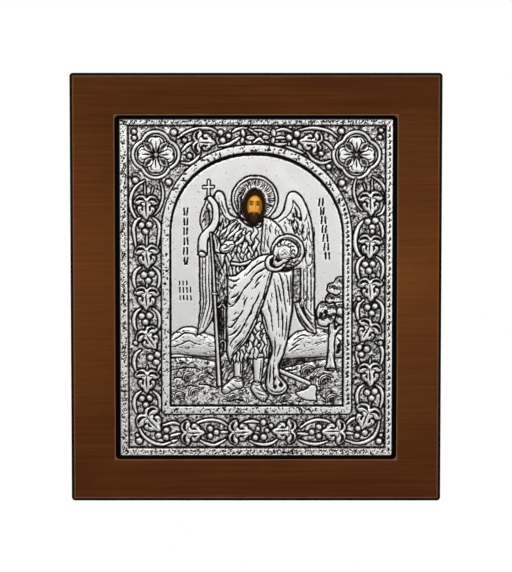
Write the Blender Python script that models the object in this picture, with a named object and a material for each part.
"""Icon panel: an embossed silver cover with a painted face, let into a brown wooden board.

The panel hangs on a wall. X runs to the right and Z up, the front faces -Y, and the origin is the
centre of the back face. The relief is drawn on the cover as (across, up) from the cover's centre,
with heights counted from the plain field towards the viewer. Run it with
blender --background --python part.py, or from Blender's text editor.
"""
import math

import bmesh
import bpy
import numpy as np
from mathutils.geometry import delaunay_2d_cdt

MM = 0.001

# Cover and board. The board is worked out from the cover, the gaps round it and the margins.
COVER_WIDTH = 199 * MM
COVER_HEIGHT = 246 * MM
COVER_CORNER = 2.5 * MM
SIDE_GAP = 3.0 * MM
END_GAP = 2.25 * MM
SIDE_MARGIN = 32.5 * MM
END_MARGIN = 30.75 * MM
BOARD_THICKNESS = 20 * MM
BOARD_CORNER = 2.5 * MM
FRONT_CHAMFER = 2.2 * MM
BACK_CHAMFER = 1.0 * MM
RECESS_DEPTH = 7.0 * MM
RECESS_CORNER = 3.3 * MM
CONTACT_GAP = 0.3 * MM
PLATE_THICKNESS = 3.2 * MM
CORNER_STEPS = 3

# Painted face, seen through the cut-out in the cover.
HEAD_CENTRE = (-1.4, 59.0)
HEAD_WIDTH = 17.2
HEAD_HEIGHT = 27.4
HEAD_NARROWING = 0.22
HEAD_TILT = -3
FACE_SINK = 0.8 * MM
HEAD_SIDES = 20

# Borders of the cover.
OUTER_BAND = 5.2 * MM
OUTER_BAND_HEIGHT = 1.8 * MM
FRAME_BAND = 6.0 * MM
FRAME_BAND_HEIGHT = 1.6 * MM
SIDE_FRIEZE = 25.0 * MM
BOTTOM_FRIEZE = 25.3 * MM
FRAME_SHIFT = 0.5 * MM
ARCH_TOP_GAP = 13.6 * MM
ARCH_RISE = 66.3 * MM
ARCH_STEPS = 20
BAND_FLAT_SHARE = 0.3

# Vine in the friezes.
LEAF_WIDTH = 19.2 * MM
LEAF_HEIGHT = 1.6 * MM
BERRY_RADIUS = 2.4 * MM
BERRY_HEIGHT = 1.7 * MM
BERRY_SIDES = 6
STEM_WIDTH = 2.4 * MM
STEM_HEIGHT = 1.1 * MM
LEFT_FIRST_LEAF = 26.6 * MM
LEFT_LEAF_PITCH = 30.3 * MM
RIGHT_FIRST_LEAF = 34.0 * MM
RIGHT_LEAF_PITCH = 31.2 * MM
SIDE_LEAVES = 4
LEFT_LEAF_LINE = 79.6 * MM
RIGHT_LEAF_LINE = 83.2 * MM
BOTTOM_LEFT_LEAF = 50.5 * MM
BOTTOM_RIGHT_LEAF = 60.8 * MM
BOTTOM_LEAF_PITCH = 36.0 * MM
TOP_LEAF = 42.5 * MM
TOP_LEAF_DROP = 10.4 * MM
TOP_LEAF_SIZE = 0.92
CORNER_LEAF_SIZE = 1.08
ROSETTE_RADIUS = 18.2 * MM
ROSETTE_OFFSET = 6.5 * MM
LOBE_STEPS = 6
ROSETTE_HEIGHT = 1.5 * MM
ROSETTE_UP = 97.0 * MM
ROSETTE_ACROSS = 72.8 * MM

# Figure and landscape: heights above the field. The drawing's own unit is a millimetre at this size.
FIGURE_HEIGHT = 152.7 * MM
RIGHT_HILL_START = 18.2
DRAWN_HEIGHT = 152.7
DRAWN_SILL = -86.4
HALO_RADIUS = 15.6
HALO_SIDES = 16
PLATTER_SIDES = 16
HALO_RAYS = 7
HALO_HEIGHT = 0.9 * MM
WING_HEIGHT = 1.3 * MM
SCROLL_HEIGHT = 2.0 * MM
STAFF_HEIGHT = 2.3 * MM
TUNIC_HEIGHT = 1.8 * MM
CLOAK_HEIGHT = 2.4 * MM
PANEL_HEIGHT = 2.8 * MM
PLATTER_HEIGHT = 2.9 * MM
HAND_HEIGHT = 3.2 * MM
LEG_HEIGHT = 1.6 * MM
HILL_HEIGHT = 0.8 * MM
GROUND_HEIGHT = 0.5 * MM
TREE_HEIGHT = 1.4 * MM
AXE_HEIGHT = 1.2 * MM
FOLD_DEPTH = 0.8 * MM
FOLD_WIDTH = 1.7
CURVE_STEPS = 2
DENSE_PATH = 4
MERGE_DISTANCE = 0.5 * MM

# Sizes that follow from those above.
RECESS_WIDTH = COVER_WIDTH + 2 * SIDE_GAP
RECESS_HEIGHT = COVER_HEIGHT + 2 * END_GAP
BOARD_WIDTH = RECESS_WIDTH + 2 * SIDE_MARGIN
BOARD_HEIGHT = RECESS_HEIGHT + 2 * END_MARGIN
RECESS_FLOOR = RECESS_DEPTH - BOARD_THICKNESS
COVER_BACK = RECESS_FLOOR - CONTACT_GAP
FIELD = COVER_BACK - PLATE_THICKNESS
FACE_FRONT = FIELD + FACE_SINK
HALF_WIDTH = COVER_WIDTH / 2
HALF_HEIGHT = COVER_HEIGHT / 2
FRAME_HALF = HALF_WIDTH - OUTER_BAND - SIDE_FRIEZE
FRAME_BOTTOM = OUTER_BAND + BOTTOM_FRIEZE - HALF_HEIGHT
FRAME_SILL = FRAME_BOTTOM + FRAME_BAND
ARCH_SPRING = HALF_HEIGHT - OUTER_BAND - ARCH_TOP_GAP - ARCH_RISE
DRAWN_UNIT = FIGURE_HEIGHT / DRAWN_HEIGHT


# Plane geometry of the relief.

def place(point):
    """A point of the figure's drawing as a place on the cover."""
    return (point[0] * DRAWN_UNIT, FRAME_SILL + (point[1] - DRAWN_SILL) * DRAWN_UNIT)


def placed(points):
    """Points of the figure's drawing as places on the cover."""
    return [place(point) for point in points]


def curve(points):
    """A smooth open path through the points, with more points between them where they are few."""
    steps = CURVE_STEPS if len(points) < DENSE_PATH else 1
    knots = [np.array(point, dtype=float) for point in points]
    first = 2 * knots[0] - knots[1]
    last = 2 * knots[-1] - knots[-2]
    knots = [first] + knots + [last]
    path = []
    for index in range(1, len(knots) - 2):
        before, start, end, after = knots[index - 1:index + 3]
        for step in range(steps):
            t = step / steps
            bend = (2 * before - 5 * start + 4 * end - after) * t * t
            twist = (3 * start - before - 3 * end + after) * t * t * t
            path.append(tuple(0.5 * (2 * start + (end - before) * t + bend + twist)))
    path.append(tuple(knots[-2]))
    return path


def outline(*stretches):
    """A closed outline of smooth stretches that meet in corners."""
    ring = []
    for stretch in stretches:
        ring += curve(stretch)[:-1]
    return ring


def circle(centre, radius, sides, stretch=1.0):
    """Points round a circle, or round an ellipse stretched upwards."""
    ring = []
    for index in range(sides):
        angle = 2 * math.pi * index / sides
        ring.append((centre[0] + radius * math.cos(angle), centre[1] + radius * stretch * math.sin(angle)))
    return ring


def rounded_rectangle(half_width, half_height, corner):
    """Points round a rectangle with round corners, counter-clockwise."""
    ring = []
    for quarter, (side, end) in enumerate(((1, 1), (-1, 1), (-1, -1), (1, -1))):
        for step in range(CORNER_STEPS + 1):
            angle = math.pi / 2 * (quarter + step / CORNER_STEPS)
            across = side * (half_width - corner) + corner * math.cos(angle)
            ring.append((across, end * (half_height - corner) + corner * math.sin(angle)))
    return ring


def normals(path, closed):
    """The left-hand normal at each point of a path, lengthened at bends so that offsets stay parallel."""
    path = np.array(path)
    ahead = np.roll(path, -1, axis=0) - path
    if not closed:
        ahead[-1] = ahead[-2]
    behind = np.roll(ahead, 1, axis=0)
    if not closed:
        behind[0] = ahead[0]
    ahead /= np.maximum(np.linalg.norm(ahead, axis=1, keepdims=True), 1e-9)
    behind /= np.maximum(np.linalg.norm(behind, axis=1, keepdims=True), 1e-9)
    middle = ahead + behind
    middle /= np.maximum(np.linalg.norm(middle, axis=1, keepdims=True), 1e-9)
    stretch = np.maximum(np.sum(middle * ahead, axis=1), 0.6)[:, None]
    return np.stack((-middle[:, 1], middle[:, 0]), axis=1) / stretch


def offset(path, distance, closed):
    """The path moved to its left by a distance, one number or one for each point."""
    return np.array(path) + normals(path, closed) * np.reshape(distance, (-1, 1))


def is_counter_clockwise(ring):
    """Whether a closed ring runs counter-clockwise."""
    ring = np.array(ring)
    after = np.roll(ring, -1, axis=0)
    return np.sum(ring[:, 0] * after[:, 1] - after[:, 0] * ring[:, 1]) > 0


def inside(points, ring):
    """Whether each point lies inside a closed ring."""
    ring = np.array(ring)
    after = np.roll(ring, -1, axis=0)
    found = np.zeros(len(points), dtype=bool)
    for (x0, y0), (x1, y1) in zip(ring, after):
        if y0 == y1:
            continue
        spans = (points[:, 1] < y0) != (points[:, 1] < y1)
        crossing = x0 + (points[:, 1] - y0) * (x1 - x0) / (y1 - y0)
        found ^= spans & (points[:, 0] < crossing)
    return found


def nearness(points, path, widths, closed):
    """For each point, its distance to the path as a share of the path's half width there."""
    path = np.array(path)
    widths = np.broadcast_to(np.array(widths, dtype=float), (len(path),))
    ends = np.roll(path, -1, axis=0)
    end_widths = np.roll(widths, -1)
    if not closed:
        path, ends, widths, end_widths = path[:-1], ends[:-1], widths[:-1], end_widths[:-1]
    best = np.full(len(points), 1e9)
    for start, end, width, end_width in zip(path, ends, widths, end_widths):
        along = end - start
        share = np.clip((points - start) @ along / max(along @ along, 1e-12), 0, 1)
        distance = np.linalg.norm(points - start - share[:, None] * along, axis=1)
        best = np.minimum(best, distance / (width + share * (end_width - width)))
    return best


class Raised:
    """A shape that stands up from the field, with a sloping edge inside its closed outline."""

    def __init__(self, ring, height, edge=1.1 * MM):
        self.ring = list(ring) if is_counter_clockwise(ring) else list(reversed(ring))
        self.height = height
        self.edge = edge

    def lift(self, points):
        """Height of this shape at each point."""
        depth = nearness(points, self.ring, self.edge, True)
        return np.where(inside(points, self.ring), self.height * np.clip(depth, 0, 1), 0)

    def guides(self):
        """The lines that the mesh follows, each with the place where this shape has to be on top."""
        crest = offset(self.ring, self.edge, True)
        return [(self.ring, crest, True), (crest, crest, True)]


class Cord:
    """A raised line of a given half width: round, or with a flat top as wide as the given share."""

    def __init__(self, path, half_width, height, flat=0.0, closed=False):
        self.path = [tuple(point) for point in path]
        self.half_width = np.broadcast_to(np.array(half_width, dtype=float), (len(self.path),))
        self.height = height
        self.flat = flat
        self.closed = closed

    def lift(self, points):
        """Height of this line at each point."""
        share = nearness(points, self.path, self.half_width, self.closed)
        return self.height * np.clip((1 - share) / (1 - self.flat), 0, 1)

    def guides(self):
        """The lines that the mesh follows, each with the place where this line has to be on top."""
        shares = [-1, 1, -self.flat, self.flat] if self.flat else [-1, 1, 0]
        lines = []
        for share in shares:
            side = offset(self.path, share * self.half_width, self.closed)
            lines.append((side, np.array(self.path), self.closed))
        return lines


class Dome:
    """A round knob, such as a berry."""

    def __init__(self, centre, radius, height, sides=BERRY_SIDES):
        self.centre = centre
        self.radius = radius
        self.height = height
        self.sides = sides

    def lift(self, points):
        """Height of the knob at each point."""
        share = np.linalg.norm(points - np.array(self.centre), axis=1) / self.radius
        return self.height * np.sqrt(np.clip(1 - share * share, 0, 1))

    def guides(self):
        """The knob's foot and a smaller ring near its top, with half as many points."""
        foot = circle(self.centre, self.radius, self.sides)
        top = circle(self.centre, self.radius * 0.5, self.sides // 2)
        probe = circle(self.centre, self.radius * 0.5, self.sides)
        return [(foot, np.array(probe), True), (top, np.array(top), True)]


class Cut(Cord):
    """A groove, cut into whatever it crosses."""

    def __init__(self, path, half_width=FOLD_WIDTH / 2 * MM, depth=FOLD_DEPTH):
        super().__init__(path, half_width, depth)


def height_at(points, forms):
    """Height of the whole relief at each point."""
    points = np.array(points, dtype=float)
    height = np.zeros(len(points))
    for form in forms:
        if not isinstance(form, Cut):
            height = np.maximum(height, form.lift(points))
    for form in forms:
        if isinstance(form, Cut):
            height = np.maximum(height - form.lift(points), 0)
    return height


# Vine, rosettes and bands.

def turned(points, origin, heading, unit=1.0):
    """Points drawn with +up towards the heading (degrees, 90 is up), set at an origin."""
    angle = math.radians(heading - 90)
    cosine = math.cos(angle) * unit
    sine = math.sin(angle) * unit
    return [(origin[0] + x * cosine - y * sine, origin[1] + x * sine + y * cosine) for x, y in points]


def leaf(origin, heading, size=1.0):
    """A vine leaf of five lobes, with a vein and its lobes parted. Origin: where its lobes meet."""
    unit = LEAF_WIDTH * size / 19.2
    upper = ((0, -4.2), (3.6, -5.5), (8.2, -3.9), (9.6, 0.2), (8.0, 2.7), (5.2, 3.0))
    lower = ((5.2, 3.0), (6.9, 6.0), (4.4, 10.0), (0, 13.4))
    mirrored_lower = [(-x, y) for x, y in reversed(lower)]
    mirrored_upper = [(-x, y) for x, y in reversed(upper)]
    ring = []
    for stretch in (upper, lower, mirrored_lower, mirrored_upper):
        ring += stretch[:-1]
    forms = [Raised(turned(ring, origin, heading, unit), LEAF_HEIGHT, 1.2 * MM)]
    forms.append(Cut(turned(((0, 0.5), (0, 9.5)), origin, heading, unit), 0.6 * MM))
    for side in (-1, 1):
        parting = [(side * x, y) for x, y in ((1.0, 0.6), (5.0, 2.9))]
        forms.append(Cut(turned(parting, origin, heading, unit), 0.6 * MM))
    return forms


def berries(origin, heading, places=((-2.7, 16.4), (2.7, 16.9), (-0.3, 21.3))):
    """Berries beyond a leaf's tip, at places in the leaf's own drawing."""
    return [Dome(point, BERRY_RADIUS, BERRY_HEIGHT) for point in turned(places, origin, heading, MM)]


def stem(points):
    """A cord-like stem through places on the cover."""
    return Cord(curve(points), STEM_WIDTH / 2, STEM_HEIGHT)


def stem_ring(origin, heading, length):
    """Two bowed stems and a stalk between one leaf and the next, a length away."""
    forms = []
    bow = ((6.4, 11.0), (10.2, 18.5), (8.4, length / MM - 3.5))
    for side in (-1, 1):
        forms.append(stem(turned([(side * x, y) for x, y in bow], origin, heading, MM)))
    stalk = ((-0.3, 23.5), (0, length / MM - 4.0))
    forms.append(Cord(turned(stalk, origin, heading, MM), 0.9 * MM, STEM_HEIGHT))
    return forms


def rosette(centre):
    """A quatrefoil ring round four broad petals with slits between them."""
    lobe = ROSETTE_RADIUS - ROSETTE_OFFSET
    cusp = (ROSETTE_OFFSET + math.sqrt(2 * lobe ** 2 - ROSETTE_OFFSET ** 2)) / 2
    sweep = math.atan2(cusp, cusp - ROSETTE_OFFSET)
    ring = []
    for quarter in range(4):
        for step in range(LOBE_STEPS):
            angle = sweep * (2 * step / LOBE_STEPS - 1)
            x = ROSETTE_OFFSET + lobe * math.cos(angle)
            ring += turned([(x, lobe * math.sin(angle))], centre, 90 + 90 * quarter)
    half_width = 1.7 * MM
    line = offset(ring, half_width, True)
    forms = [Cord(line, half_width, ROSETTE_HEIGHT, 0.4, True)]
    petal = ((0, 0.5), (2.0, 4.0), (5.0, 7.2), (5.2, 10.4), (2.6, 12.9), (0, 12.2))
    half = [(-x, y) for x, y in reversed(petal)]
    for quarter in range(4):
        shape = turned(list(petal) + half[1:-1], centre, 90 * quarter, MM)
        forms.append(Raised(shape, ROSETTE_HEIGHT, 0.9 * MM))
    forms.append(Dome(centre, 2.0 * MM, ROSETTE_HEIGHT + 0.3 * MM))
    return forms


def side_frieze(side, leaf_line, first, pitch):
    """The vine that runs down one side of the cover, from under the rosette to the corner leaf."""
    line = side * leaf_line
    forms = leaf((line, first + pitch + 5.0 * MM), -90)
    forms += berries((line, first + pitch + 5.0 * MM), -90)
    forms += stem_ring((line, first + pitch + 3.0 * MM), -90, pitch + 3.0 * MM)
    for index in range(SIDE_LEAVES):
        origin = (line, first - index * pitch)
        forms += leaf(origin, -90 + side * 6 * (index == 2))
        forms += berries(origin, -90)
        forms += stem_ring(origin, -90, pitch)
    top = first + pitch + 8.0 * MM
    for edge in (-1, 1):
        hoop = [(line + edge * x * MM, top + y * MM) for x, y in ((4, 9), (8.5, 5), (11, -2), (10.4, -9), (7, -16))]
        forms.append(stem(hoop))
    return forms


def corner_vine(side, leaf_line, corner_leaf):
    """The leaf in a lower corner, its berries and the stems that turn the corner round it."""
    origin = (side * (leaf_line - 1.0 * MM), corner_leaf)
    heading = -90 - side * 42
    forms = leaf(origin, heading, CORNER_LEAF_SIZE)
    forms += berries(origin, heading, ((-3.0, 15.6), (3.2, 16.0), (1.2, 20.6)))
    sweep = ((5.5, -7), (1, -14), (-7, -20), (-15, -21), (-21, -18))
    forms.append(stem([(origin[0] + side * x * MM, origin[1] + y * MM) for x, y in sweep]))
    inner = ((-13.5, -5.8), (-19.5, -4.6), (-25, -6))
    forms.append(stem([(origin[0] + side * x * MM, origin[1] + y * MM) for x, y in inner]))
    bud = (origin[0] + side * 6.2 * MM, origin[1] - 17.5 * MM)
    forms.append(Dome(bud, 2.6 * MM, BERRY_HEIGHT))
    return forms


def bottom_frieze():
    """Two leaves on each side of the bottom border, pointing to the middle, with their stems."""
    line = (FRAME_BOTTOM - HALF_HEIGHT + OUTER_BAND) / 2
    forms = []
    for side, outer in ((-1, BOTTOM_LEFT_LEAF), (1, BOTTOM_RIGHT_LEAF)):
        heading = 0 if side < 0 else 180
        origin = (side * outer, line)
        forms += leaf(origin, heading)
        forms += berries(origin, heading, ((-2.8, 16.2), (2.8, 16.4), (0, 21.4)))
        forms += stem_ring(origin, heading, BOTTOM_LEAF_PITCH)
        forms += leaf((side * (outer - BOTTOM_LEAF_PITCH), line), heading)
    for across, up in ((-0.8, -4.2), (4.8, -4.0), (5.2, 6.2), (10.8, 4.0), (1.4, 1.6)):
        forms.append(Dome((across * MM, line + up * MM), BERRY_RADIUS, BERRY_HEIGHT))
    forms.append(stem([(-8 * MM, line + 7 * MM), (-3 * MM, line + 8 * MM), (2 * MM, line + 7.2 * MM)]))
    forms.append(stem([(-5 * MM, line - 7 * MM), (5 * MM, line - 9.6 * MM), (14 * MM, line - 7 * MM)]))
    return forms


def top_frieze():
    """Leaves, knots, berries and stems over the arch, the same on both sides of its top."""
    top = HALF_HEIGHT - OUTER_BAND
    forms = []
    for side in (-1, 1):
        origin = (side * TOP_LEAF, top - TOP_LEAF_DROP)
        forms += leaf(origin, 90 + side * 84, TOP_LEAF_SIZE)
        across = side * MM
        for x, down in ((24.5, 10.4), (20.2, 7.2), (26.5, 5.4)):
            forms.append(Dome((across * x, top - down * MM), BERRY_RADIUS, BERRY_HEIGHT))
        upper = ((57, 9.5), (50, 4.0), (42, 2.2), (33, 2.4), (27, 5))
        lower = ((19, 13.2), (24, 14.8), (29, 16.0))
        knot = ((17, 4.2), (13, 1.8), (8, 2.0), (4, 5.0), (-1, 9.5))
        curl = ((54, 27.5), (48, 26.5), (42.5, 21.5), (45.5, 17), (50, 19))
        for shape in (upper, lower, knot, curl):
            forms.append(stem([(across * x, top - y * MM) for x, y in shape]))
        for down in (5.0, 10.0):
            forms.append(Dome((across * 11, top - down * MM), 2.2 * MM, BERRY_HEIGHT))
        forms.append(Dome((across * 5, top - 8.5 * MM), 2.6 * MM, BERRY_HEIGHT))
        forms.append(Dome((across * 61, top - 3.6 * MM), 2.4 * MM, BERRY_HEIGHT))
        forms.append(Dome((across * 88, top - 5.0 * MM), 2.4 * MM, BERRY_HEIGHT))
        forms.append(Dome((across * 63.5, top - 41 * MM), 2.6 * MM, BERRY_HEIGHT))
        forms.append(Dome((across * 88.5, top - 38.5 * MM), 3.0 * MM, BERRY_HEIGHT))
    return forms


def arch_line(inset):
    """The inner frame as a closed line, a distance in from its outer edge: sides, sill and arch."""
    half = FRAME_HALF - inset
    rise = ARCH_RISE - inset
    line = []
    for step in range(ARCH_STEPS + 1):
        angle = math.pi * step / ARCH_STEPS
        line.append((FRAME_SHIFT + half * math.cos(angle), ARCH_SPRING + rise * math.sin(angle)))
    line.append((FRAME_SHIFT - half, FRAME_BOTTOM + inset))
    line.append((FRAME_SHIFT + half, FRAME_BOTTOM + inset))
    return line


def bands():
    """The raised band round the cover's edge and the arched band round the field."""
    half_band = OUTER_BAND / 2
    outer = rounded_rectangle(HALF_WIDTH - half_band, HALF_HEIGHT - half_band, half_band)
    forms = [Cord(outer, half_band, OUTER_BAND_HEIGHT, BAND_FLAT_SHARE, True)]
    forms.append(Cord(arch_line(FRAME_BAND / 2), FRAME_BAND / 2, FRAME_BAND_HEIGHT, BAND_FLAT_SHARE, True))
    return forms


# Figure, drawn in its own millimetres and set on the sill.

def raised(height, *stretches, edge=1.1):
    """A raised shape of the figure, from smooth stretches of its drawing."""
    return Raised(placed(outline(*stretches)), height, edge * DRAWN_UNIT)


def folds(depth, *lines):
    """Grooves along smooth lines of the figure's drawing."""
    return [Cut(placed(curve(line)), FOLD_WIDTH / 2 * DRAWN_UNIT, depth) for line in lines]


def bar(height, points, half_width, flat=0.0):
    """A raised line of the figure along drawn points, with a half width in drawing units."""
    widths = np.array(half_width, dtype=float) * DRAWN_UNIT
    return Cord(placed(points), widths, height, flat)


def wings():
    """Two wings with a smooth leading edge and long feathers."""
    left = (
        ((-30.3, 66), (-26.9, 70.3), (-23.2, 68), (-21.6, 60), (-18.3, 52.8), (-11, 50.5)),
        ((-11, 50.5), (-10, 20), (-20, -8), (-29.5, -13), (-33.7, -25.7), (-42.5, -33.5)),
        ((-42.5, -33.5), (-40.6, -12), (-41, 25)),
        ((-41, 25), (-36, 40), (-29, 52), (-30.3, 66)),
    )
    right = (
        ((12, 50.4), (17.3, 52.3), (21.5, 62), (24.4, 69), (28.5, 70), (34.5, 63), (39.5, 50), (42.3, 25)),
        ((42.3, 25), (42.3, -17), (43.7, -33)),
        ((43.7, -33), (36.3, -30), (29.2, -15.4), (27.5, -11)),
        ((27.5, -11), (32.4, -9), (32.4, 14)),
        ((32.4, 14), (25, 20), (12, 50.4)),
    )
    forms = [raised(WING_HEIGHT, *left), raised(WING_HEIGHT, *right)]
    forms += folds(
        0.6 * MM,
        ((-26.4, 60), (-23.1, 52.3), (-16.8, 48.5)),
        ((-36.7, 22), (-36.4, -8), (-39.7, -22)),
        ((-33, -8), (-34, -17), (-38.5, -27)),
        ((16.6, 48), (23.1, 52.8), (26.7, 63)),
        ((26.7, 63), (31.2, 58.1), (33.4, 49)),
        ((38, 33), (36.3, 24.9), (38.5, 16.2), (40.9, 24.9)),
        ((37.1, 12), (37.1, -12), (40.4, -22)),
        ((30, 42), (32, 34), (35.3, 38)),
    )
    return forms


def scroll_staff_and_cross():
    """The unrolled scroll over the left wing, and the long staff with its cross."""
    back = (
        ((-35.6, 65), (-39.2, 57), (-40.6, 50), (-38.9, 41.7)),
        ((-38.9, 41.7), (-33, 45), (-31, 54), (-31.5, 61), (-35.6, 65)),
    )
    ribbon = ((-33, 65.5), (-29.5, 60), (-28.9, 54), (-29.6, 48.5), (-34.3, 40.6), (-38.2, 35.5), (-38.7, 25.5))
    ribbon_path = curve(ribbon)
    widths = np.interp(range(len(ribbon_path)), (0, len(ribbon_path) - 1), (2.0, 3.1))
    forms = [raised(1.1 * MM, *back), bar(SCROLL_HEIGHT, ribbon_path, widths, 0.6)]
    forms.append(bar(STAFF_HEIGHT, ((-32.6, 39), (-30.4, 0), (-28.2, -44), (-26.8, -70.5)), (0.9, 1.1, 1.3, 1.5)))
    forms.append(bar(HALO_HEIGHT, ((-34.1, 79), (-34.1, 65.8)), 1.3))
    forms.append(bar(HALO_HEIGHT, ((-38.9, 73.6), (-30.3, 73.6)), 1.3))
    return forms


def halo():
    """The ring of the halo and the rays and hair between it and the head."""
    centre = place((-0.9, 64.8))
    ring = circle(centre, HALO_RADIUS * DRAWN_UNIT, HALO_SIDES)
    forms = [Cord(ring, 1.2 * DRAWN_UNIT, HALO_HEIGHT, 0.4, True)]
    for index in range(HALO_RAYS):
        angle = math.radians(-20 + index * 220 / (HALO_RAYS - 1))
        ray = []
        for radius in (10.8, 14.2):
            ray.append((-0.9 + radius * math.cos(angle), 64.8 + radius * math.sin(angle)))
        forms.append(bar(0.5 * MM, ray, 0.6))
    forms.append(bar(1.4 * MM, curve(((-8.5, 69), (-11, 62), (-11.4, 54))), 1.2))
    return forms


def tunic():
    """The fur tunic with wavy locks cut in, its cuff and the hand that holds the staff."""
    body = (
        ((4.5, 50), (-3, 44.4), (-12, 50.5)),
        ((-12, 50.5), (-19, 47), (-24, 40.3), (-28, 36), (-26.5, 27)),
        ((-26.5, 27), (-21, 14), (-20.6, -9), (-20.5, -40), (-19, -53)),
        ((-19, -53), (-14.5, -55), (-9, -51), (-3, -54), (3, -51), (8, -53)),
        ((8, -53), (12, -20), (10, 20), (6, 45), (4.5, 50)),
    )
    forms = [raised(TUNIC_HEIGHT, *body)]
    for index in range(6):
        start = -17.5 + index * 4.0
        lock = ((start, 43 - abs(index - 2.5)), (start + 1.4, 37), (start - 0.4, 31), (start + 1.4, 24))
        forms += folds(0.7 * MM, lock)
    for index in range(4):
        start = -2.5 + index * 3.4
        lock = ((start, -30 - index), (start + 1, -38), (start - 0.6, -46))
        forms += folds(0.7 * MM, lock)
    forms += folds(0.7 * MM, ((-17, 19.8), (-10, 20.2), (-3, 19)), ((-17, 15.8), (-10, 16), (-6, 15.2)))
    forms += folds(0.7 * MM, ((-23, 38), (-20.5, 35), (-21.5, 31)), ((-19.4, 42), (-17.6, 37), (-18.6, 30)))
    hand = circle(place((-21.2, 29.4)), 4.2 * DRAWN_UNIT, 10, 0.9)
    forms.append(Raised(hand, CLOAK_HEIGHT, 1.6 * DRAWN_UNIT))
    cuff = ((-31, 39.5), (-27, 35), (-25.5, 30), (-24.6, 14.4), (-29, 24), (-31, 39.5))
    forms.append(Raised(placed(cuff[:-1]), TUNIC_HEIGHT, 1.0 * DRAWN_UNIT))
    return forms


def legs():
    """Bare legs and sandalled feet below the hem."""
    forms = [bar(LEG_HEIGHT, ((-12.9, -50), (-13.1, -67)), (3.2, 2.7), 0.2)]
    forms.append(bar(LEG_HEIGHT, ((1.6, -50), (1.0, -69)), (3.8, 2.6), 0.2))
    left_foot = ((-10, -66), (-9, -72), (-16.9, -74.8), (-22.7, -77.6), (-24.9, -73.6), (-19.8, -68.3), (-16.6, -65.5))
    right_foot = ((-2, -68.5), (-3.9, -73.6), (-1, -78.6), (4.2, -82.5), (8.6, -81), (7.6, -76.9), (3.6, -70))
    for foot in (left_foot, right_foot):
        forms.append(Raised(placed(foot), LEG_HEIGHT + 0.4 * MM, 1.6 * DRAWN_UNIT))
    forms += folds(0.5 * MM, ((-15.8, -66.2), (-10.2, -66.4)), ((-2, -69.2), (3.6, -69.2)))
    return forms


def cloak():
    """The cloak: over the right shoulder, across the left hip, and in one long panel in front."""
    shoulder = (
        ((5, 51.8), (14.4, 47.8), (20, 39)),
        ((20, 39), (14, 30), (8, 19)),
        ((8, 19), (3.4, 27.3), (4.6, 45), (5, 51.8)),
    )
    drape = (
        ((12, 24.5), (3, 23), (-4, 18.5), (-12, 11), (-20.5, 8.6)),
        ((-20.5, 8.6), (-20.9, -9), (-22, -26), (-21, -35), (-21.5, -45), (-18.6, -55)),
        ((-18.6, -55), (-17, -50), (-8, -39.5), (-1.9, -28.1)),
        ((-1.9, -28.1), (4.8, -12.7), (10.1, 3.7), (12, 11.8)),
        ((12, 11.8), (14, 18), (12, 24.5)),
    )
    front = (
        ((12.1, 12.1), (7.9, -3.3), (3.5, -15.4)),
        ((3.5, -15.4), (7.1, -31.7), (11.6, -43.8), (8.9, -55.5), (7.2, -70)),
        ((7.2, -70), (8.5, -75.4), (15.6, -78.6), (22, -75.4), (21.8, -69.4), (17, -62.2)),
        ((17, -62.2), (17, -56), (22.8, -37.6), (26.7, -15.4), (27.1, 14.6)),
        ((27.1, 14.6), (20, 12.5), (12.1, 12.1)),
    )
    forms = [raised(CLOAK_HEIGHT, *shoulder), raised(CLOAK_HEIGHT, *drape), raised(PANEL_HEIGHT, *front)]
    forms += folds(
        FOLD_DEPTH,
        ((7, 45), (5.8, 27)),
        ((11, 46), (10.6, 39)),
        ((15, 44), (14.4, 38)),
        ((10.1, 11.8), (5.3, -6.4), (0, -20.9), (-5.3, -31.9), (-15.5, -45.7)),
        ((7.7, 14.7), (1, 11.3), (-3.8, 6.1)),
        ((-7.7, 1.3), (-13.5, -8.8), (-19.2, -13.7)),
        ((-6.5, -6.9), (-9.1, -14.1)),
        ((2.4, 4.1), (-1.5, -2)),
        ((-12.3, -20.9), (-15.5, -26), (-19.8, -28)),
        ((-5.8, -20.9), (-11.5, -31.9), (-17.3, -38.2)),
        ((-19, 1.5), (-15.4, 2.2)),
        ((12.9, 6.3), (15, -6.7), (16.5, -28.8)),
        ((16.5, 11), (19.6, 0), (21.9, -17.5)),
        ((22, 9.2), (24.2, -8)),
        ((7.6, -9.2), (11, -20), (12.1, -31)),
        ((5, -18), (9, -33.8)),
        ((18.1, -41.6), (15.2, -50.1)),
        ((12.9, -63), (12.6, -71)),
        ((17, -66), (17.6, -72)),
    )
    return forms


def platter():
    """The round dish with a small bearded head in it, and the draped hand that holds it."""
    centre = (23, 27)
    forms = [Raised(circle(place(centre), 11.0 * DRAWN_UNIT, PLATTER_SIDES), PLATTER_HEIGHT - 0.8 * MM, 1.0 * DRAWN_UNIT)]
    rim = circle(place(centre), 10.7 * DRAWN_UNIT, PLATTER_SIDES)
    forms.append(Cord(rim, 1.1 * DRAWN_UNIT, PLATTER_HEIGHT, 0.3, True))
    forms.append(Dome(place((23.6, 29.4)), 5.2 * DRAWN_UNIT, HAND_HEIGHT + 0.1 * MM, 10))
    forms.append(Dome(place((24.4, 21.8)), 4.6 * DRAWN_UNIT, HAND_HEIGHT - 0.2 * MM, 10))
    hand = ((11.3, 25.5), (8.0, 20.5), (8.6, 15), (13.5, 13.1), (19.2, 16.4), (14.6, 18), (13.2, 24))
    forms.append(Raised(placed(hand), HAND_HEIGHT, 1.4 * DRAWN_UNIT))
    return forms


def left_edge():
    """The field's left edge in the figure's drawing units."""
    return (FRAME_SHIFT - FRAME_HALF + FRAME_BAND / 2) / DRAWN_UNIT


def right_edge():
    """The field's right edge in the figure's drawing units."""
    return (FRAME_SHIFT + FRAME_HALF - FRAME_BAND / 2) / DRAWN_UNIT


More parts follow.
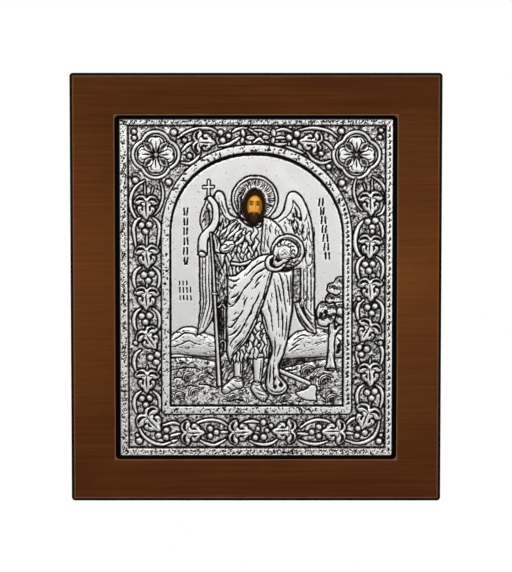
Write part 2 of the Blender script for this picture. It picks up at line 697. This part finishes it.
def hills_and_ground():
    """Low hills on both sides, with the terraced ground in front of them."""
    left = left_edge()
    right = right_edge()
    behind_cloak = RIGHT_HILL_START
    sill = DRAWN_SILL - FRAME_BAND / 2 / DRAWN_UNIT
    left_hill = (
        ((left, -36), (-57.8, -31.7), (-49, -28.4), (-41.9, -30.8), (-31.3, -35.3), (-24, -37)),
        ((-24, -37), (-24, -50.7)),
        ((-24, -50.7), (-40, -49.8), (-53, -48.6), (left, -49)),
        ((left, -49), (left, -36)),
    )
    right_hill = (
        ((behind_cloak, -39), (26, -34.9), (35.4, -31.1), (48.8, -30.4), (right, -34.5)),
        ((right, -34.5), (right, -51.5)),
        ((right, -51.5), (40, -51), (behind_cloak, -52)),
        ((behind_cloak, -52), (behind_cloak, -39)),
    )
    ground = (
        ((left, -51.5), (-41, -52.2), (-32.3, -55.8), (-26, -62), (0, -66), (17.4, -60.4), (38, -54.6), (right, -51)),
        ((right, -51), (right, sill)),
        ((right, sill), (left, sill)),
        ((left, sill), (left, -51.5)),
    )
    forms = [raised(HILL_HEIGHT, *left_hill, edge=2.0), raised(HILL_HEIGHT, *right_hill, edge=2.0)]
    forms.append(raised(GROUND_HEIGHT, *ground, edge=1.5))
    forms += folds(
        0.4 * MM,
        ((left + 5, -59.6), (-48.7, -58.2), (-39, -60.6)),
        ((left + 10, -73.6), (-47, -71.5), (-41, -73)),
        ((-41, -70.9), (-28, -73.1)),
        ((left + 6, -38), (-52, -34), (-44, -36)),
        ((28, -42), (38, -38), (48, -41)),
        ((24, -58.5), (34, -60), (44, -58)),
    )
    for centre, radius in (((-48.7, -65), 3.4), ((-44, -77), 3.6), ((36.7, -61), 3), ((51, -67.6), 4)):
        forms.append(Dome(place(centre), radius * DRAWN_UNIT, GROUND_HEIGHT + 0.5 * MM))
    return forms


def tree():
    """A tree with a round-topped crown in three tiers."""
    forms = [bar(TREE_HEIGHT, ((56, -12), (55.6, -32), (55, -54)), (1.6, 2.0, 3.2), 0.3)]
    forms.append(bar(TREE_HEIGHT - 0.3 * MM, ((57, -34), (61, -30.5), (64, -27.7)), (1.2, 1.0, 0.9)))
    tiers = (
        ((49.4, -17), 6.2, 1.0),
        ((50.6, -25.4), 4.2, 0.8),
        ((56.2, -8), 6.6, 0.9),
        ((60.2, -15), 4.0, 1.2),
        ((57.6, 0.4), 5.4, 0.9),
        ((61.4, 3.4), 3.8, 1.0),
    )
    for centre, radius, stretch in tiers:
        crown = circle(place(centre), radius * DRAWN_UNIT, 10, stretch)
        forms.append(Raised(crown, TREE_HEIGHT, 1.4 * DRAWN_UNIT))
    forms.append(Dome(place((47.5, -19.6)), 1.4 * DRAWN_UNIT, TREE_HEIGHT + 0.6 * MM))
    forms.append(Dome(place((51, -17.5)), 1.4 * DRAWN_UNIT, TREE_HEIGHT + 0.6 * MM))
    return forms


def axe():
    """The axe that lies on the ground at the figure's left foot."""
    blade = (
        ((39.9, -70), (35.4, -75), (29.1, -76.6)),
        ((29.1, -76.6), (35, -81.4), (44.3, -82.6)),
        ((44.3, -82.6), (43.8, -77), (44.3, -71.6)),
        ((44.3, -71.6), (42, -70.4), (39.9, -70)),
    )
    forms = [bar(AXE_HEIGHT, ((17.9, -63.6), (40.6, -69.8)), 1.1), raised(AXE_HEIGHT, *blade)]
    return forms


def inscription_marks():
    """Short upright strokes down both sides of the head, where the words stand."""
    forms = []
    for index in range(6):
        up = 55 - index * 7.2
        forms.append(bar(0.5 * MM, ((-52.2, up + 2), (-51.6, up - 2)), 0.8))
    for index in range(7):
        up = 62 - index * 6
        across = 46.4 + index * 0.6
        forms.append(bar(0.5 * MM, ((across, up + 2), (across + 0.6, up - 2)), 0.8))
    return forms


def relief():
    """All the forms of the relief."""
    forms = bands()
    forms += rosette((-ROSETTE_ACROSS, ROSETTE_UP)) + rosette((ROSETTE_ACROSS, ROSETTE_UP))
    forms += top_frieze() + bottom_frieze()
    for side, line, first, pitch in (
        (-1, LEFT_LEAF_LINE, LEFT_FIRST_LEAF, LEFT_LEAF_PITCH),
        (1, RIGHT_LEAF_LINE, RIGHT_FIRST_LEAF, RIGHT_LEAF_PITCH),
    ):
        forms += side_frieze(side, line, first, pitch)
        forms += corner_vine(side, line, first - SIDE_LEAVES * pitch)
    forms += hills_and_ground() + tree() + axe() + inscription_marks()
    forms += halo() + wings() + scroll_staff_and_cross()
    forms += tunic() + legs() + cloak() + platter()
    return forms


def head_opening(margin):
    """The outline of the cut-out for the painted head, grown by a margin."""
    tilt = math.radians(HEAD_TILT)
    centre = place(HEAD_CENTRE)
    half_width = HEAD_WIDTH / 2 * DRAWN_UNIT + margin
    half_height = HEAD_HEIGHT / 2 * DRAWN_UNIT + margin
    ring = []
    for index in range(HEAD_SIDES):
        angle = 2 * math.pi * index / HEAD_SIDES
        up = math.sin(angle)
        narrowing = 1 - HEAD_NARROWING * max(-up, 0) ** 2
        across = half_width * narrowing * math.cos(angle)
        rise = half_height * up
        ring.append((
            centre[0] + across * math.cos(tilt) - rise * math.sin(tilt),
            centre[1] + across * math.sin(tilt) + rise * math.cos(tilt),
        ))
    return ring


# Mesh building.

def guide_mesh(forms, edge_ring, opening):
    """Points and edges of every guide line that shows, inside the cover and outside the opening."""
    lines = []
    probes = []
    owners = []
    for form in forms:
        for line, probe, closed in form.guides():
            line = np.array(line)
            count = len(line) if closed else len(line) - 1
            for index in range(count):
                after = (index + 1) % len(line)
                lines.append((line[index], line[after]))
                probes.append((probe[index] + probe[after]) / 2)
                owners.append(form)
    probes = np.array(probes)
    total = height_at(probes, [form for form in forms if not isinstance(form, Cut)])
    own = np.zeros(len(probes))
    for form in forms:
        mask = np.array([owner is form for owner in owners])
        own[mask] = form.lift(probes[mask])
    is_cut = np.array([isinstance(owner, Cut) for owner in owners])
    shown = is_cut | (own > total - 0.25 * MM)
    middles = np.array([(start + end) / 2 for start, end in lines])
    shown &= ~inside(middles, opening)
    shown &= inside(middles, edge_ring)
    points = []
    edges = []
    for (start, end), keep in zip(lines, shown):
        if keep:
            edges.append((len(points), len(points) + 1))
            points += [tuple(start), tuple(end)]
    for ring in (edge_ring, opening):
        base = len(points)
        points += [tuple(point) for point in ring]
        edges += [(base + index, base + (index + 1) % len(ring)) for index in range(len(ring))]
    return points, edges


def new_object(name, mesh_builder, material):
    """An object of this name from a bmesh, with its material."""
    mesh = bpy.data.meshes.new(name)
    bmesh.ops.recalc_face_normals(mesh_builder, faces=mesh_builder.faces)
    mesh_builder.to_mesh(mesh)
    mesh_builder.free()
    mesh.materials.append(material)
    item = bpy.data.objects.new(name, mesh)
    bpy.context.scene.collection.objects.link(item)
    return item


def new_material(name, colour, roughness, metallic):
    """A Principled material."""
    material = bpy.data.materials.new(name)
    material.use_nodes = True
    shader = material.node_tree.nodes["Principled BSDF"]
    shader.inputs["Base Color"].default_value = (*colour, 1)
    shader.inputs["Roughness"].default_value = roughness
    shader.inputs["Metallic"].default_value = metallic
    return material


def lofted(rings):
    """A closed body through rings of equal count, each as (points, y), with flat caps."""
    builder = bmesh.new()
    loops = []
    for ring, depth in rings:
        loops.append([builder.verts.new((x, depth, z)) for x, z in ring])
    for lower, upper in zip(loops, loops[1:]):
        for index in range(len(lower)):
            after = (index + 1) % len(lower)
            builder.faces.new((lower[index], lower[after], upper[after], upper[index]))
    builder.faces.new(loops[0])
    builder.faces.new(loops[-1])
    return builder


def wood_board():
    """The board: chamfered edges, and a recess with round corners in its face."""
    half_width = BOARD_WIDTH / 2
    half_height = BOARD_HEIGHT / 2
    rings = []
    for inset, depth in (
        (BACK_CHAMFER, 0),
        (0, -BACK_CHAMFER),
        (0, FRONT_CHAMFER - BOARD_THICKNESS),
        (FRONT_CHAMFER, -BOARD_THICKNESS),
    ):
        rings.append((rounded_rectangle(half_width - inset, half_height - inset, BOARD_CORNER), depth))
    recess = rounded_rectangle(RECESS_WIDTH / 2, RECESS_HEIGHT / 2, RECESS_CORNER)
    rings += [(recess, -BOARD_THICKNESS), (recess, RECESS_FLOOR)]
    wood = new_material("wood", (0.09, 0.035, 0.012), 0.45, 0.0)
    return new_object("wood_board", lofted(rings), wood)


def silver_cover():
    """The cover: the relief on a plate, with the cut-out for the head right through it."""
    edge_ring = rounded_rectangle(HALF_WIDTH, HALF_HEIGHT, COVER_CORNER)
    opening = head_opening(0)
    forms = relief()
    points, edges = guide_mesh(forms, edge_ring, opening)
    flat, _, faces, _, _, _ = delaunay_2d_cdt(points, edges, [], 0, MERGE_DISTANCE)
    flat = np.array([tuple(point) for point in flat])
    heights = height_at(flat, forms)
    builder = bmesh.new()
    top = [builder.verts.new((x, FIELD - height, z)) for (x, z), height in zip(flat, heights)]
    for face in faces:
        corners = flat[list(face)]
        if not inside(corners.mean(axis=0)[None, :], opening)[0]:
            builder.faces.new([top[index] for index in face])
    loose = [vertex for vertex in builder.verts if not vertex.link_faces]
    bmesh.ops.delete(builder, geom=loose, context="VERTS")
    rim = [edge for edge in builder.edges if edge.is_boundary]
    walls = bmesh.ops.extrude_edge_only(builder, edges=rim)["geom"]
    back_edges = []
    for item in walls:
        if isinstance(item, bmesh.types.BMVert):
            item.co.y = COVER_BACK
        elif isinstance(item, bmesh.types.BMEdge):
            back_edges.append(item)
    bmesh.ops.triangle_fill(builder, edges=back_edges, use_beauty=True)
    silver = new_material("silver", (0.8, 0.78, 0.74), 0.25, 1.0)
    return new_object("silver_cover", builder, silver)


def painted_face():
    """The painted panel behind the cut-out, a small gap smaller than it all round."""
    ring = head_opening(-CONTACT_GAP)
    paint = new_material("paint", (0.45, 0.26, 0.12), 0.4, 0.0)
    return new_object("painted_face", lofted([(ring, COVER_BACK), (ring, FACE_FRONT)]), paint)


def main():
    """Clears the scene and builds the three pieces."""
    for item in list(bpy.data.objects):
        bpy.data.objects.remove(item)
    wood_board()
    silver_cover()
    painted_face()


main()
